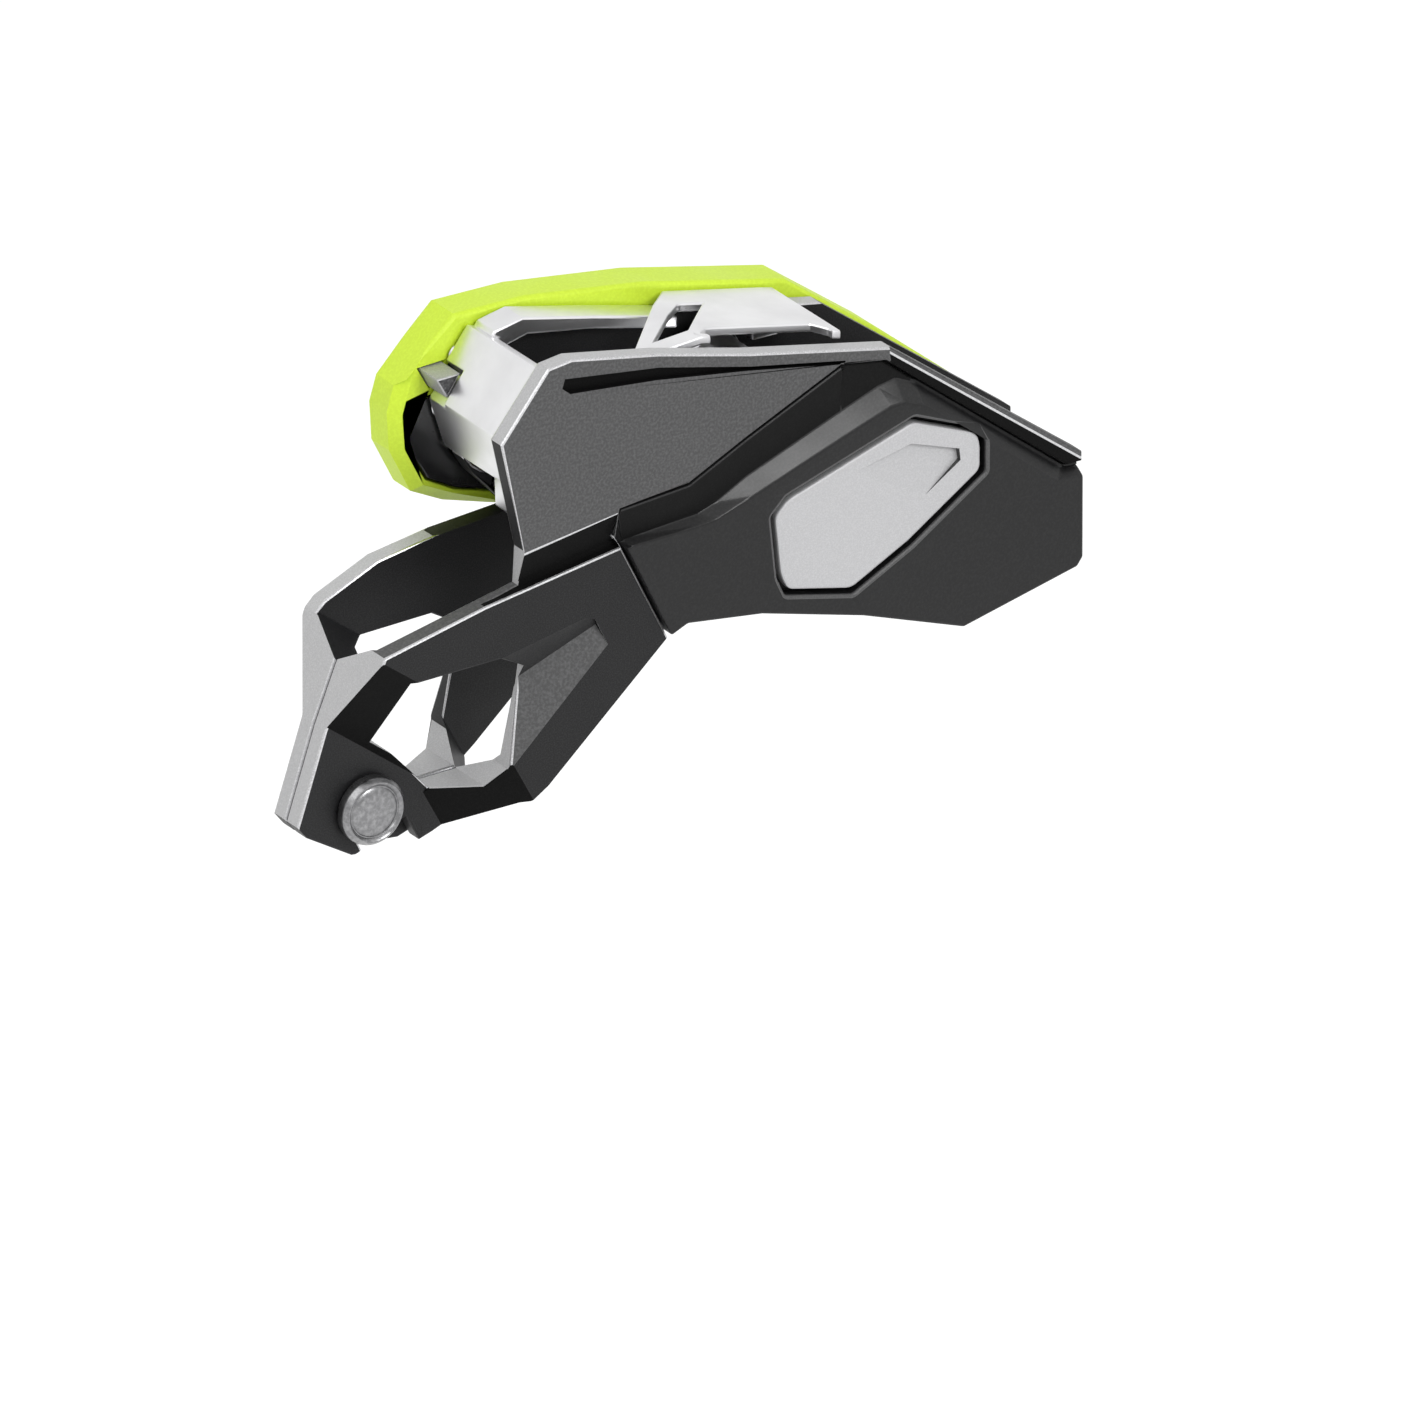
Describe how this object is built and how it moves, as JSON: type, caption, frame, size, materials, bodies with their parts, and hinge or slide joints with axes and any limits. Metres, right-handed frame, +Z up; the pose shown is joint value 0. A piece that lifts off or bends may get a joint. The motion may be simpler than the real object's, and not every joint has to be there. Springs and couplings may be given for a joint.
{
  "type": "assisted braking belay device",
  "caption": "Belay device with two side plates, a swinging steel cam, a release lever and an opening gate whose arms close round an attachment pin.",
  "frame": {"origin": "on the attachment pin's axis, in the middle between the two arms", "axes": "+X from the attachment pin to the end where the brake rope leaves, +Y from the gate side to the handle side along every hinge axis, +Z up along the loaded rope"},
  "size_m": [0.1176, 0.0277, 0.0673],
  "materials": {
    "anodised_plate": "dark grey anodised, fine blasted grain",
    "moulded_black": "semi-matte moulding",
    "gloss_black": "glossy moulding",
    "lime_plastic": "smooth bright yellow-green",
    "polished_steel": "polished",
    "satin_inlay": "light grey satin",
    "bearing_bronze": "turned",
    "spring_steel": "plain"
  },
  "bodies": {
    "frame": {"back_plate": "anodised_plate", "attachment_pin": "polished_steel", "main_axle": "polished_steel", "axle_clip": "spring_steel", "cam_axle": "polished_steel", "handle_bushing": "bearing_bronze", "end_wall": "polished_steel", "rope_anvil": "polished_steel", "top_guard": "polished_steel", "exit_guide": "polished_steel", "end_wall_dowel_low": "spring_steel", "end_wall_dowel_high": "spring_steel", "anvil_dowel": "spring_steel", "guard_dowel": "spring_steel", "guide_dowel": "spring_steel"},
    "front_gate": {"front_plate": "anodised_plate", "gate_bushing": "bearing_bronze", "front_cover": "moulded_black", "front_inlay": "satin_inlay", "cover_screw_1": "spring_steel", "cover_screw_2": "spring_steel", "cover_screw_3": "spring_steel"},
    "swing_cam": {"cam": "polished_steel", "cam_bushing": "bearing_bronze", "cam_spring": "spring_steel"},
    "handle": {"handle_grip": "lime_plastic", "handle_core": "gloss_black", "handle_spring": "spring_steel", "handle_shaft": "polished_steel", "stop_lug": "polished_steel"}
  },
  "joints": [
    {"name": "gate_swing", "type": "hinge", "parent": "frame", "child": "front_gate", "pos_m": [0.073, 0, 0.0293], "axis": [0, 1, 0], "range_deg": [0, 95]},
    {"name": "cam_swing", "type": "hinge", "parent": "frame", "child": "swing_cam", "pos_m": [0.058, 0, 0.045], "axis": [0, 1, 0], "range_deg": [0, 18], "stiffness_Nm_per_rad": 0.05, "springref_deg": -17.19},
    {"name": "handle_swing", "type": "hinge", "parent": "frame", "child": "handle", "pos_m": [0.027, 0, 0.0435], "axis": [0, 1, 0], "range_deg": [-95, 0], "stiffness_Nm_per_rad": 0.02, "springref_deg": 34.38}
  ]
}
